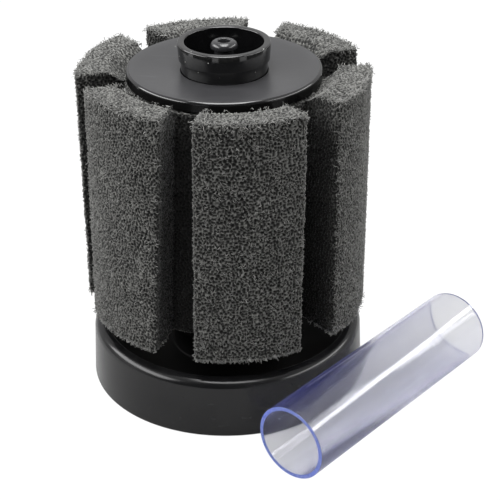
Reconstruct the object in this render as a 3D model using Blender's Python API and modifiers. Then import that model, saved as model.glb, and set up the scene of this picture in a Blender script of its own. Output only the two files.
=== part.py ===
"""Air-driven sponge filter for an aquarium, with its clear lift tube lying beside it.

The frame is +Z up, in metres. The origin is on the filter's axis, at the centre of the
base's underside. Every turned piece is modelled about that axis, which all the lift-off
slides follow. The front of the filter is -Y.
"""

import math

import bmesh
import bpy

MM = 0.001
GAP = 0.3 * MM  # clearance between touching pieces
RIB_WALL = 1.2 * MM  # of the locating ribs under the cap and on the base cover

# Foam sleeve: a round block with six parallel-sided slots.
FOAM_RADIUS = 35.9 * MM
FOAM_BOTTOM = 22.0 * MM
FOAM_TOP = 85.2 * MM
SLOT_COUNT = 6
SLOT_HALF_WIDTH = 4.8 * MM
SLOT_FLOOR = 24.2 * MM  # from the axis to the flat floor of a slot
SLOT_MOUTH_ROUND = 1.8 * MM
SLOT_FLOOR_ROUND = 0.8 * MM
FIRST_SLOT_ANGLE = math.radians(-20.4)  # from -Y, turning towards +X
FIN_ARC_POINTS = 8
FOAM_EDGE_ROUND = 0.9 * MM
FOAM_RECESS_MARGIN = 0.8 * MM  # round the cap

# Weighted base.
BASE_RADIUS = 35.5 * MM
BASE_SPREAD = 0.7 * MM  # how much wider the dish is at its foot than at its lip
BASE_HEIGHT = 15.8 * MM
BASE_WALL = 1.8 * MM
BASE_CHAMFER = 1.8 * MM  # the slope inside the lip
BASE_DRAFT = 0.5 * MM  # how far the inner wall leans in at the floor
BASE_LIP_ROUND = 0.85 * MM
BASE_FOOT_ROUND = 0.5 * MM
BASE_FLOOR_ROUND = 3.0 * MM
WEB_BOTTOM = 6.0 * MM
WEB_TOP = 7.6 * MM
COVER_THICKNESS = 1.5 * MM
BALLAST_THICKNESS = 3.6 * MM
BALLAST_HOLE = 12.0 * MM
BALLAST_MARGIN = 1.5 * MM  # to the base's wall
SOCKET_HEIGHT = 6.9 * MM
SOCKET_WALL = 1.8 * MM
SOCKET_ROUND = 0.5 * MM

# Slotted strainer tube.
STRAINER_RADIUS = 12.5 * MM
STRAINER_BORE = 11.0 * MM
STRAINER_TOP = 82.1 * MM
FLANGE_RADIUS = 17.0 * MM
FLANGE_THICKNESS = 1.5 * MM
FLANGE_ROUND = 0.4 * MM
INLET_WIDTH = 2.2 * MM
INLET_HEIGHT = 14.0 * MM
INLET_FIRST = 33.0 * MM  # height of the middle of the lowest row
INLET_PITCH = 18.0 * MM
INLET_ROWS = 3
INLET_COLUMNS = 8

# Top cap.
CAP_RADIUS = 24.2 * MM
CAP_TOP = 85.5 * MM
CAP_BOTTOM = 82.7 * MM
CAP_DISH = 0.9 * MM  # how far the top falls from the rim to the centre hole
CAP_SKIRT = 1.3 * MM
CAP_WEB = 1.6 * MM
CAP_RIB_HEIGHT = 3.2 * MM
CAP_EDGE_ROUND = 0.9 * MM
CAP_HOLE_ROUND = 0.3 * MM
CAP_FLAT = 3.0 * MM  # width of the nearly level band inside the rim

# Outlet collar, the socket of the lift tube.
COLLAR_TOP = 91.9 * MM
COLLAR_RADIUS = 11.55 * MM
COLLAR_SHOULDER = 87.5 * MM
COLLAR_SHOULDER_RADIUS = 11.0 * MM
COLLAR_RIM_ROUND = 0.5 * MM
SHANK_RADIUS = 10.7 * MM
COLLAR_BOTTOM = 75.0 * MM
COLLAR_BORE = 9.75 * MM
LEDGE_THICKNESS = 2.0 * MM
LEDGE_BORE = 8.3 * MM

# Air line: nozzle, stem and diffuser.
NOZZLE_TOP = 91.6 * MM
NOZZLE_LIP = 3.2 * MM
NOZZLE_NECK = 2.4 * MM
NOZZLE_BORE = 1.4 * MM
RIDGE_HEIGHT = 1.4 * MM
RIDGE_PITCH = 3.6 * MM
RIDGE_COUNT = 2
SPIDER_RING = 9.45 * MM
SPIDER_RING_WALL = 0.95 * MM
SPIDER_HEIGHT = 2.0 * MM
SPIDER_ARM_WIDTH = 1.6 * MM
SPIGOT_RADIUS = 2.0 * MM
SPIGOT_BOTTOM = 68.0 * MM
STEM_RADIUS = 3.2 * MM
STEM_BOTTOM = 42.0 * MM
STEM_TOP = 76.5 * MM
DIFFUSER_RADIUS = 5.5 * MM
DIFFUSER_BOTTOM = 27.0 * MM
DIFFUSER_HEIGHT = 14.5 * MM
DIFFUSER_WALL = 1.2 * MM
NIPPLE_HEIGHT = 6.0 * MM
AIR_HOLE_RADIUS = 0.5 * MM
AIR_HOLE_HEIGHT = 10.0 * MM  # above the diffuser's foot
AIR_HOLE_COLUMNS = 8
AIR_HOLE_SIDES = 6

# Lift tube, lying on the floor against the base.
TUBE_RADIUS = 9.525 * MM
TUBE_BORE = 8.5 * MM
TUBE_LENGTH = 70.2 * MM
TUBE_ANGLE = math.radians(48.1)  # of its axis, from +X towards +Y
BASE_BESIDE_TUBE = BASE_RADIUS + BASE_SPREAD * (1 - TUBE_RADIUS / BASE_HEIGHT)
TUBE_OFFSET = BASE_BESIDE_TUBE + TUBE_RADIUS + 1.2 * GAP  # from the filter's axis to the tube's
TUBE_END_ROUND = 0.2 * MM
TUBE_NEAR_END = -29.1 * MM  # along the tube's axis, from the point nearest the filter's axis

TURN_STEPS = 40
SMALL_STEPS = 20  # for pieces under about 20 mm across
ARC_STEPS = 2
THROUGH = 5 * MM  # how far a cutter reaches past what it cuts


def clear_scene():
    for item in list(bpy.data.objects):
        bpy.data.objects.remove(item, do_unlink=True)


def new_collection(name):
    collection = bpy.data.collections.new(name)
    bpy.context.scene.collection.children.link(collection)
    return collection


def plastic(name, colour, roughness, metallic=0.0, transmission=0.0):
    """A Principled material, as (name, base colour, roughness) and, if needed, metal or clear."""
    material = bpy.data.materials.new(name)
    material.use_nodes = True
    shader = material.node_tree.nodes["Principled BSDF"]
    shader.inputs["Base Color"].default_value = (*colour, 1.0)
    shader.inputs["Roughness"].default_value = roughness
    shader.inputs["Metallic"].default_value = metallic
    shader.inputs["Transmission Weight"].default_value = transmission
    material.diffuse_color = (*colour, 1.0)
    return material


def place(name, mesh, collection, material=None):
    item = bpy.data.objects.new(name, mesh)
    collection.objects.link(item)
    if material:
        mesh.materials.append(material)
    return item


def filleted(corners):
    """The outline through (u, v, radius) corners, each rounded by an arc of its radius."""
    points = []
    for index, (u, v, radius) in enumerate(corners):
        before = corners[index - 1]
        after = corners[(index + 1) % len(corners)]
        back = math.atan2(before[1] - v, before[0] - u)
        ahead = math.atan2(after[1] - v, after[0] - u)
        half = abs(math.remainder(ahead - back, math.tau)) / 2
        if radius == 0 or half < 0.01:
            points.append((u, v))
            continue
        middle = back + math.remainder(ahead - back, math.tau) / 2
        reach = radius / math.sin(half)
        centre = (u + reach * math.cos(middle), v + reach * math.sin(middle))
        swing = math.copysign(math.pi / 2 - half, math.remainder(ahead - back, math.tau))
        for step in range(ARC_STEPS + 1):
            angle = middle + math.pi + swing * (1 - 2 * step / ARC_STEPS)
            points.append((centre[0] + radius * math.cos(angle), centre[1] + radius * math.sin(angle)))
    return points


def turned(name, corners, collection, material=None, steps=TURN_STEPS):
    """A profile of (r, z, fillet) corners, down its outer side first, turned about Z."""
    points = filleted(corners)
    count = len(points)
    edges = [(index, (index + 1) % count) for index in range(count)]
    on_axis = [index for index, point in enumerate(points) if point[0] == 0]
    if on_axis:
        edges.remove(tuple(on_axis))
    mesh = bpy.data.meshes.new(name)
    mesh.from_pydata([(r, 0, z) for r, z in points], edges, [])
    item = place(name, mesh, collection, material)
    screw = item.modifiers.new("Turn", "SCREW")
    screw.angle = math.tau
    screw.steps = screw.render_steps = steps
    screw.use_merge_vertices = True
    screw.merge_threshold = 1e-6
    return item


def box(name, size, location, collection, turn=0.0):
    mesh = bpy.data.meshes.new(name)
    shape = bmesh.new()
    bmesh.ops.create_cube(shape, size=1.0)
    bmesh.ops.scale(shape, vec=size, verts=shape.verts)
    shape.to_mesh(mesh)
    shape.free()
    item = place(name, mesh, collection)
    item.location = location
    item.rotation_euler.z = turn
    return item


def rod(name, radius, length, location, turn, collection):
    """A round cutter lying in the XY plane, at an angle of turn from X."""
    mesh = bpy.data.meshes.new(name)
    shape = bmesh.new()
    sides = AIR_HOLE_SIDES
    bmesh.ops.create_cone(shape, cap_ends=True, segments=sides, radius1=radius, radius2=radius, depth=length)
    shape.to_mesh(mesh)
    shape.free()
    item = place(name, mesh, collection)
    item.location = location
    item.rotation_euler = (0, math.pi / 2, turn)
    return item


def combine(target, tool, operation):
    """Cuts the tool from the target or joins it, and hides the tool from the render."""
    boolean = target.modifiers.new(tool.name, "BOOLEAN")
    boolean.operation = operation
    boolean.solver = "EXACT"
    boolean.object = tool
    tool.hide_render = True
    tool.display_type = "WIRE"


def shade_round(item):
    item.data.shade_smooth()
    item.data.set_sharp_from_angle(angle=math.radians(35))


def plate(name, outline, bottom, top, collection, material):
    """A flat outline of (x, y) points, extruded from bottom to top, as a welded mesh."""
    curve = bpy.data.curves.new(name, "CURVE")
    curve.dimensions = "2D"
    curve.fill_mode = "BOTH"
    curve.extrude = (top - bottom) / 2
    spline = curve.splines.new("POLY")
    spline.points.add(len(outline) - 1)
    for point, (x, y) in zip(spline.points, outline):
        point.co = (x, y, 0, 1)
    spline.use_cyclic_u = True
    guide = bpy.data.objects.new(name + "_guide", curve)
    collection.objects.link(guide)
    bpy.context.view_layer.update()
    graph = bpy.context.evaluated_depsgraph_get()
    mesh = bpy.data.meshes.new_from_object(guide.evaluated_get(graph))
    mesh.name = name
    bpy.data.objects.remove(guide, do_unlink=True)
    shape = bmesh.new()
    shape.from_mesh(mesh)
    bmesh.ops.remove_doubles(shape, verts=shape.verts, dist=1e-6)
    bmesh.ops.translate(shape, vec=(0, 0, (bottom + top) / 2), verts=shape.verts)
    shape.to_mesh(mesh)
    shape.free()
    return place(name, mesh, collection, material)


def make_base_dish(parts):
    material = plastic("base_black", (0.02, 0.02, 0.022), 0.3)
    inner = BASE_RADIUS - BASE_WALL
    socket = STRAINER_RADIUS + GAP
    corners = [
        (BASE_RADIUS, BASE_HEIGHT, BASE_LIP_ROUND),
        (BASE_RADIUS + BASE_SPREAD, 0, BASE_FOOT_ROUND),
        (inner, 0, 0),
        (inner, WEB_BOTTOM, 0),
        (0, WEB_BOTTOM, 0),
        (0, WEB_TOP, 0),
        (socket, WEB_TOP, 0),
        (socket, WEB_TOP + SOCKET_HEIGHT, 0),
        (socket + SOCKET_WALL, WEB_TOP + SOCKET_HEIGHT, SOCKET_ROUND),
        (socket + SOCKET_WALL, WEB_TOP, 0),
        (inner - BASE_CHAMFER - BASE_DRAFT, WEB_TOP, BASE_FLOOR_ROUND),
        (inner - BASE_CHAMFER, BASE_HEIGHT - BASE_CHAMFER - BASE_LIP_ROUND, 0),
        (inner, BASE_HEIGHT - BASE_LIP_ROUND, 0),
        (inner, BASE_HEIGHT, BASE_LIP_ROUND / 2),
    ]
    return turned("base_dish", corners, parts, material)


def make_base_cover(parts):
    """The plate that closes the ballast chamber from below, with a rib inside the ballast ring."""
    material = plastic("cover_black", (0.018, 0.018, 0.02), 0.5)
    radius = BASE_RADIUS - BASE_WALL - GAP
    rib = BALLAST_HOLE - GAP
    rib_top = COVER_THICKNESS + BALLAST_THICKNESS
    corners = [
        (radius, COVER_THICKNESS, 0),
        (radius, 0, BASE_FOOT_ROUND),
        (0, 0, 0),
        (0, COVER_THICKNESS, 0),
        (rib - RIB_WALL, COVER_THICKNESS, 0),
        (rib - RIB_WALL, rib_top, 0),
        (rib, rib_top, 0),
        (rib, COVER_THICKNESS, 0),
    ]
    return turned("base_cover", corners, parts, material)


def make_ballast_ring(parts):
    material = plastic("ballast_iron", (0.12, 0.11, 0.1), 0.6, metallic=1.0)
    radius = BASE_RADIUS - BASE_WALL - BALLAST_MARGIN
    bottom = COVER_THICKNESS + GAP
    top = bottom + BALLAST_THICKNESS
    corners = [
        (radius, top, 0),
        (radius, bottom, 0),
        (BALLAST_HOLE, bottom, 0),
        (BALLAST_HOLE, top, 0),
    ]
    return turned("ballast_ring", corners, parts, material)


def make_strainer_tube(parts, cutters):
    """The slotted tube that stands in the base's socket and carries the foam on its flange."""
    material = plastic("strainer_black", (0.02, 0.02, 0.022), 0.45)
    flange_top = FOAM_BOTTOM - GAP
    corners = [
        (STRAINER_RADIUS, STRAINER_TOP, 0),
        (STRAINER_RADIUS, flange_top, 0),
        (FLANGE_RADIUS, flange_top, FLANGE_ROUND),
        (FLANGE_RADIUS, flange_top - FLANGE_THICKNESS, FLANGE_ROUND),
        (STRAINER_RADIUS, flange_top - FLANGE_THICKNESS, 0),
        (STRAINER_RADIUS, WEB_TOP + GAP, 0),
        (STRAINER_BORE, WEB_TOP + GAP, 0),
        (STRAINER_BORE, STRAINER_TOP, 0),
    ]
    tube = turned("strainer_tube", corners, parts, material)
    size = (2 * STRAINER_RADIUS + THROUGH, INLET_WIDTH, INLET_HEIGHT)
    for row in range(INLET_ROWS):
        height = INLET_FIRST + row * INLET_PITCH
        for column in range(INLET_COLUMNS // 2):
            turn = math.tau * (column + 0.5) / INLET_COLUMNS
            inlet = box(f"inlet_cutter_{row}_{column}", size, (0, 0, height), cutters, turn)
            combine(tube, inlet, "DIFFERENCE")
    return tube


def foam_outline():
    """The foam seen from above: arcs of the outer circle, broken by flat-floored slots."""
    pitch = math.tau / SLOT_COUNT
    mouth = math.asin(SLOT_HALF_WIDTH / FOAM_RADIUS)
    edge = math.sqrt(FOAM_RADIUS**2 - SLOT_HALF_WIDTH**2)
    slot_corners = (
        (edge, -SLOT_HALF_WIDTH, SLOT_MOUTH_ROUND),
        (SLOT_FLOOR, -SLOT_HALF_WIDTH, SLOT_FLOOR_ROUND),
        (SLOT_FLOOR, SLOT_HALF_WIDTH, SLOT_FLOOR_ROUND),
        (edge, SLOT_HALF_WIDTH, SLOT_MOUTH_ROUND),
    )
    corners = []
    for slot in range(SLOT_COUNT):
        middle = FIRST_SLOT_ANGLE - math.pi / 2 + slot * pitch
        for out, across, fillet in slot_corners:
            x = out * math.cos(middle) - across * math.sin(middle)
            y = out * math.sin(middle) + across * math.cos(middle)
            corners.append((x, y, fillet))
        for step in range(1, FIN_ARC_POINTS + 1):
            angle = middle + mouth + (pitch - 2 * mouth) * step / (FIN_ARC_POINTS + 1)
            corners.append((FOAM_RADIUS * math.cos(angle), FOAM_RADIUS * math.sin(angle), 0))
    return filleted(corners)


def make_foam_block(parts, cutters):
    material = plastic("foam_grey", (0.08, 0.08, 0.075), 0.95)
    foam = plate("foam_block", foam_outline(), FOAM_BOTTOM, FOAM_TOP, parts, material)
    bevel = foam.modifiers.new("Soft edges", "BEVEL")
    bevel.width = FOAM_EDGE_ROUND
    bevel.segments = 2
    bevel.limit_method = "ANGLE"
    bevel.angle_limit = math.radians(60)
    bore = STRAINER_RADIUS + GAP
    rib = bore + RIB_WALL + GAP
    rib_bottom = CAP_BOTTOM - CAP_RIB_HEIGHT - GAP
    recess_floor = CAP_BOTTOM - GAP
    corners = [
        (CAP_RADIUS + FOAM_RECESS_MARGIN, FOAM_TOP + THROUGH, 0),
        (CAP_RADIUS + FOAM_RECESS_MARGIN, recess_floor, 0),
        (rib, recess_floor, 0),
        (rib, rib_bottom, 0),
        (bore, rib_bottom, 0),
        (bore, FOAM_BOTTOM - THROUGH, 0),
        (0, FOAM_BOTTOM - THROUGH, 0),
        (0, FOAM_TOP + THROUGH, 0),
    ]
    combine(foam, turned("foam_bore_cutter", corners, cutters), "DIFFERENCE")
    return foam


def make_top_cap(parts):
    """The disc on the foam: a skirt at its rim, and a rib that fits over the strainer tube."""
    material = plastic("cap_black", (0.03, 0.03, 0.033), 0.35)
    hole = SHANK_RADIUS + GAP
    rib = STRAINER_RADIUS + GAP
    web_bottom = CAP_TOP - CAP_WEB - CAP_DISH / 2
    rib_bottom = CAP_BOTTOM - CAP_RIB_HEIGHT
    corners = [
        (CAP_RADIUS, CAP_TOP, CAP_EDGE_ROUND),
        (CAP_RADIUS, CAP_BOTTOM, 0),
        (CAP_RADIUS - CAP_SKIRT, CAP_BOTTOM, 0),
        (CAP_RADIUS - CAP_SKIRT, web_bottom, 0),
        (rib + RIB_WALL, web_bottom - CAP_DISH / 3, 0),
        (rib + RIB_WALL, rib_bottom, 0),
        (rib, rib_bottom, 0),
        (rib, STRAINER_TOP + GAP, 0),
        (hole, STRAINER_TOP + GAP, 0),
        (hole, CAP_TOP - CAP_DISH, CAP_HOLE_ROUND),
        (CAP_RADIUS - CAP_FLAT, CAP_TOP - CAP_DISH / 5, 0),
    ]
    return turned("top_cap", corners, parts, material)


def make_outlet_collar(parts):
    """The socket of the lift tube: its shank goes through the cap into the strainer tube."""
    material = plastic("collar_black", (0.02, 0.02, 0.022), 0.2)
    ledge_top = COLLAR_BOTTOM + LEDGE_THICKNESS
    corners = [
        (COLLAR_RADIUS, COLLAR_TOP, COLLAR_RIM_ROUND),
        (COLLAR_SHOULDER_RADIUS, COLLAR_SHOULDER, 0),
        (SHANK_RADIUS, COLLAR_SHOULDER - 0.2 * MM, 0),
        (SHANK_RADIUS, COLLAR_BOTTOM, COLLAR_RIM_ROUND),
        (LEDGE_BORE, COLLAR_BOTTOM, 0),
        (LEDGE_BORE, ledge_top, 0),
        (COLLAR_BORE, ledge_top, 0),
        (COLLAR_BORE, COLLAR_TOP, COLLAR_RIM_ROUND),
    ]
    return turned("outlet_collar", corners, parts, material)


def ridge(top):
    """The corners of one barb of the nozzle, whose widest edge is half way down it."""
    return [
        (NOZZLE_LIP - 0.5 * MM, top, 0.2 * MM),
        (NOZZLE_LIP, top - 0.4 * RIDGE_HEIGHT, 0.2 * MM),
        (NOZZLE_LIP, top - 0.7 * RIDGE_HEIGHT, 0),
        (NOZZLE_NECK, top - RIDGE_HEIGHT, 0),
    ]


def make_airline_nozzle(parts, cutters):
    """The barb for the airline, on three arms inside a ring that sits on the collar's ledge."""
    material = plastic("nozzle_grey", (0.1, 0.1, 0.105), 0.25)
    bottom = COLLAR_BOTTOM + LEDGE_THICKNESS + GAP
    top = bottom + SPIDER_HEIGHT
    corners = []
    for index in range(RIDGE_COUNT):
        corners += ridge(NOZZLE_TOP - index * RIDGE_PITCH)
        corners.append((NOZZLE_NECK, NOZZLE_TOP - (index + 1) * RIDGE_PITCH, 0))
    corners += [
        (NOZZLE_NECK, bottom, 0),
        (SPIGOT_RADIUS, bottom - 0.4 * MM, 0),
        (SPIGOT_RADIUS, SPIGOT_BOTTOM, 0),
        (NOZZLE_BORE, SPIGOT_BOTTOM, 0),
        (NOZZLE_BORE, NOZZLE_TOP, 0.2 * MM),
    ]
    nozzle = turned("airline_nozzle", corners, parts, material, SMALL_STEPS)
    ring_corners = [
        (SPIDER_RING, top, 0),
        (SPIDER_RING, bottom, 0),
        (SPIDER_RING - SPIDER_RING_WALL, bottom, 0),
        (SPIDER_RING - SPIDER_RING_WALL, top, 0),
    ]
    combine(nozzle, turned("spider_ring", ring_corners, cutters, steps=TURN_STEPS), "UNION")
    inner = (NOZZLE_BORE + NOZZLE_NECK) / 2
    outer = SPIDER_RING - SPIDER_RING_WALL / 2
    for arm in range(3):
        turn = math.tau * arm / 3 + math.pi / 2
        reach = (inner + outer) / 2
        location = (reach * math.cos(turn), reach * math.sin(turn), (bottom + top) / 2)
        size = (outer - inner, SPIDER_ARM_WIDTH, SPIDER_HEIGHT - 0.2 * MM)
        combine(nozzle, box(f"spider_arm_{arm}", size, location, cutters, turn), "UNION")
    return nozzle


def make_air_stem(parts):
    material = plastic("stem_black", (0.03, 0.03, 0.032), 0.5)
    bore = SPIGOT_RADIUS + GAP
    corners = [
        (STEM_RADIUS, STEM_TOP, 0),
        (STEM_RADIUS, STEM_BOTTOM, 0),
        (bore, STEM_BOTTOM, 0),
        (bore, STEM_TOP, 0),
    ]
    return turned("air_stem", corners, parts, material, SMALL_STEPS)


def make_air_diffuser(parts, cutters):
    """A hollow cylinder with a ring of small holes, plugged into the foot of the stem."""
    material = plastic("diffuser_grey", (0.25, 0.24, 0.22), 0.7)
    top = DIFFUSER_BOTTOM + DIFFUSER_HEIGHT
    inside = DIFFUSER_RADIUS - DIFFUSER_WALL
    corners = [
        (SPIGOT_RADIUS, top + NIPPLE_HEIGHT, 0),
        (SPIGOT_RADIUS, top, 0),
        (DIFFUSER_RADIUS, top, 0),
        (DIFFUSER_RADIUS, DIFFUSER_BOTTOM, 0.8 * MM),
        (0, DIFFUSER_BOTTOM, 0),
        (0, DIFFUSER_BOTTOM + DIFFUSER_WALL, 0),
        (inside, DIFFUSER_BOTTOM + DIFFUSER_WALL, 0),
        (inside, top - DIFFUSER_WALL, 0),
        (NOZZLE_BORE, top - DIFFUSER_WALL, 0),
        (NOZZLE_BORE, top + NIPPLE_HEIGHT, 0),
    ]
    diffuser = turned("air_diffuser", corners, parts, material, SMALL_STEPS)
    height = DIFFUSER_BOTTOM + AIR_HOLE_HEIGHT
    for column in range(AIR_HOLE_COLUMNS // 2):
        turn = math.tau * (column + 0.5) / AIR_HOLE_COLUMNS
        name = f"air_hole_cutter_{column}"
        hole = rod(name, AIR_HOLE_RADIUS, 2 * DIFFUSER_RADIUS + THROUGH, (0, 0, height), turn, cutters)
        combine(diffuser, hole, "DIFFERENCE")
    return diffuser


def make_lift_tube(parts):
    """The clear tube, turned about its own axis and then laid on the floor."""
    material = plastic("clear_tube", (0.9, 0.91, 0.95), 0.05, transmission=0.9)
    corners = [
        (TUBE_RADIUS, TUBE_LENGTH, TUBE_END_ROUND),
        (TUBE_RADIUS, 0, TUBE_END_ROUND),
        (TUBE_BORE, 0, 0),
        (TUBE_BORE, TUBE_LENGTH, 0),
    ]
    tube = turned("lift_tube", corners, parts, material)
    along = (math.cos(TUBE_ANGLE), math.sin(TUBE_ANGLE))
    outward = (along[1], -along[0])
    x = outward[0] * TUBE_OFFSET + along[0] * TUBE_NEAR_END
    y = outward[1] * TUBE_OFFSET + along[1] * TUBE_NEAR_END
    tube.location = (x, y, TUBE_RADIUS)
    tube.rotation_euler = (0, math.pi / 2, TUBE_ANGLE)
    return tube


def main():
    clear_scene()
    parts = new_collection("sponge_filter")
    cutters = new_collection("cutters")
    base = make_base_dish(parts)
    cover = make_base_cover(parts)
    ballast = make_ballast_ring(parts)
    strainer = make_strainer_tube(parts, cutters)
    foam = make_foam_block(parts, cutters)
    cap = make_top_cap(parts)
    collar = make_outlet_collar(parts)
    nozzle = make_airline_nozzle(parts, cutters)
    stem = make_air_stem(parts)
    diffuser = make_air_diffuser(parts, cutters)
    tube = make_lift_tube(parts)
    # Each piece rides on the one it is fitted to, as it does when the filter is taken apart.
    for child, parent in (
        (cover, base),
        (ballast, base),
        (strainer, base),
        (foam, strainer),
        (cap, foam),
        (collar, cap),
        (nozzle, collar),
        (stem, nozzle),
        (diffuser, nozzle),
        (tube, base),
    ):
        child.parent = parent
    for item in parts.objects:
        shade_round(item)


main()
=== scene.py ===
"""Looks of an air-driven sponge filter with its loose lift tube: every visible piece is made
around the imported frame, in metres, with +Z up and the filter's axis at the origin."""

import itertools
import math

import bmesh
import bpy
import numpy as np
from mathutils import Matrix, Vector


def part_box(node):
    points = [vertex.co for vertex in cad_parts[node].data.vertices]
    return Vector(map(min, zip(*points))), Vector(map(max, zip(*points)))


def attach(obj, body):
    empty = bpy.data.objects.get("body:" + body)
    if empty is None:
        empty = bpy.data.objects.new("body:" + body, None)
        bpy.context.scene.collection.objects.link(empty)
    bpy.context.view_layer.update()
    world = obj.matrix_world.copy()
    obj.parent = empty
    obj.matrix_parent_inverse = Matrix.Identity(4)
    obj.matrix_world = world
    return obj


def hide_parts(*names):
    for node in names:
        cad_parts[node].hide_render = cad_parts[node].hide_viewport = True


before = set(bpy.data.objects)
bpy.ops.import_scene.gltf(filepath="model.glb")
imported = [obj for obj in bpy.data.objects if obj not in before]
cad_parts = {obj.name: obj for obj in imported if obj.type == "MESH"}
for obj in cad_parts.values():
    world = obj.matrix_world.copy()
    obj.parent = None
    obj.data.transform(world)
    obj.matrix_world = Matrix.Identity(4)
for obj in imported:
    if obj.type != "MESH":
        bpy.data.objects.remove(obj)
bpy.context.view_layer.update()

# ---------------------------------------------------------------- Base dish
# The foot of the filter: one black ABS moulding with a rounded lip, a wall that leans
# in to the floor, and a raised socket in the middle that the strainer pushes into.

MM = 0.001
base_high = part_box("base_dish")[1]
BASE_FOOT = base_high.x
BASE_RADIUS = BASE_FOOT - 0.7 * MM  # at the lip
BASE_HEIGHT = base_high.z
BASE_WALL = 1.8 * MM
BASE_DRAFT = 0.5 * MM
LIP_ROUND = 2.6 * MM
LIP_WIDTH = 3.1 * MM
LIP_SLOPE = 0.9 * MM  # how far the inside leans in below the lip
FLOOR_UNDER = 6.0 * MM
FLOOR_TOP = 7.6 * MM
SOCKET_BORE = 12.8 * MM
SOCKET_WALL = 1.8 * MM
SOCKET_TOP = 14.5 * MM
ARC_POINTS = 7  # on each rounded corner
CREASE = math.radians(35)  # an edge that turns by more stays sharp


def rounded_path(corners):
    """The path through (u, v, fillet) corners. Each corner gives way to the arc of its fillet
    that touches both sides: the arc's centre is on the bisector, fillet / sin(half angle) away."""
    corners = np.array(corners)
    at = corners[:, 0] + 1j * corners[:, 1]
    back = np.roll(at, 1) - at
    ahead = np.roll(at, -1) - at
    back /= np.abs(back)
    ahead /= np.abs(ahead)
    turn = np.angle(ahead / back)
    half = np.abs(turn) / 2
    middle = back * np.exp(0.5j * turn)
    centre = at + middle * corners[:, 2] / np.sin(half)
    start = at + back * corners[:, 2] / np.tan(half)
    sweep = -np.sign(turn) * (np.pi - 2 * half)
    steps = np.linspace(0, 1, ARC_POINTS)
    arcs = centre[:, None] + (start - centre)[:, None] * np.exp(1j * sweep[:, None] * steps)
    path = np.where(corners[:, 2:] > 0, arcs, at[:, None]).ravel()
    path = path[np.abs(path - np.roll(path, 1)) > 1e-8]
    return np.column_stack((path.real, path.imag))


def grid_mesh(name, grid, wrap_rows=True):
    """A mesh with a vertex at each point of a (rows, columns, 3) grid and a quad in each cell.
    The columns wrap round, and the rows may. Doubles at a pole are merged and the faces turned
    outwards."""
    rows, columns = grid.shape[:2]
    index = np.arange(rows * columns).reshape(rows, columns)
    below = np.roll(index, -1, axis=0)
    quads = np.stack((index, below, np.roll(below, -1, axis=1), np.roll(index, -1, axis=1)), axis=-1)
    quads = quads[: rows if wrap_rows else rows - 1]
    mesh = bpy.data.meshes.new(name)
    mesh.from_pydata(grid.reshape(-1, 3), [], quads.reshape(-1, 4))
    shape = bmesh.new()
    shape.from_mesh(mesh)
    bmesh.ops.remove_doubles(shape, verts=shape.verts, dist=1e-7)
    bmesh.ops.recalc_face_normals(shape, faces=shape.faces)
    shape.to_mesh(mesh)
    shape.free()
    mesh.shade_smooth()
    mesh.set_sharp_from_angle(angle=CREASE)
    return mesh


def turned(name, corners, columns=192):
    """A surface of revolution: the rounded path of (radius, height, fillet) corners, carried
    round the Z axis by the cos and sin of its angle."""
    path = rounded_path(corners)
    angle = np.linspace(0, math.tau, columns, endpoint=False)
    radius, height = path[:, 0], path[:, 1]
    grid = np.stack(
        (np.outer(np.cos(angle), radius), np.outer(np.sin(angle), radius), np.tile(height, (columns, 1))),
        axis=-1,
    )
    return show(name, grid_mesh(name, grid))


def show(name, mesh):
    """Links a finished mesh at the origin."""
    piece = bpy.data.objects.new(name, mesh)
    bpy.context.scene.collection.objects.link(piece)
    return piece


def add_node(tree, kind, inputs=None, **settings):
    """Adds a node, with its settings, and fills its sockets with values or with other sockets."""
    made = tree.nodes.new(kind)
    for key, value in settings.items():
        setattr(made, key, value)
    for key, value in (inputs or {}).items():
        if isinstance(value, bpy.types.NodeSocket):
            tree.links.new(value, made.inputs[key])
        else:
            made.inputs[key].default_value = value
    return made


def ramp(tree, value, *stops):
    """A colour ramp through (position, grey or colour) stops."""
    made = add_node(tree, "ShaderNodeValToRGB", {"Fac": value})
    elements = made.color_ramp.elements
    while len(elements) < len(stops):
        elements.new(0.5)
    for element, (position, colour) in zip(elements, stops):
        element.position = position
        element.color = (*colour, 1) if isinstance(colour, tuple) else (colour, colour, colour, 1)
    return made.outputs["Color"]


def noise(tree, place, scale, detail):
    """Cloudy noise, as a grey value from 0 to 1, with the given number of lumps in a metre."""
    return add_node(
        tree, "ShaderNodeTexNoise", {"Vector": place, "Scale": scale, "Detail": detail}
    ).outputs["Fac"]


def relief(tree, height, strength, distance, under=None, invert=False):
    """A surface normal bent by a grey height, over another relief where there is one."""
    inputs = {"Height": height, "Strength": strength, "Distance": distance}
    if under is not None:
        inputs["Normal"] = under
    return add_node(tree, "ShaderNodeBump", inputs, invert=invert).outputs[0]


def blended(tree, share, first, second, blend="MIX"):
    """Two colours mixed by a share, or multiplied together."""
    return add_node(
        tree,
        "ShaderNodeMix",
        {"Factor": share, "A": first, "B": second},
        data_type="RGBA",
        blend_type=blend,
    ).outputs["Result"]


def new_material(name):
    """An empty material, its node tree, its shader and the socket of the object's own coordinates."""
    material = bpy.data.materials.new(name)
    material.use_nodes = True
    tree = material.node_tree
    place = add_node(tree, "ShaderNodeTexCoord").outputs["Object"]
    return material, tree, tree.nodes["Principled BSDF"], place


def dress(piece, *finishes, which=None):
    """Gives a piece its finishes. Where there are several, which holds each face's number."""
    for finish in finishes:
        piece.data.materials.append(finish)
    if which is not None:
        piece.data.polygons.foreach_set("material_index", which.astype(np.int32))


def face_values(mesh, kind):
    """The center or the normal of each face of a mesh, as an (n, 3) array."""
    values = np.empty(len(mesh.polygons) * 3, np.float32)
    mesh.polygons.foreach_get(kind, values)
    return values.reshape(-1, 3)


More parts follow.
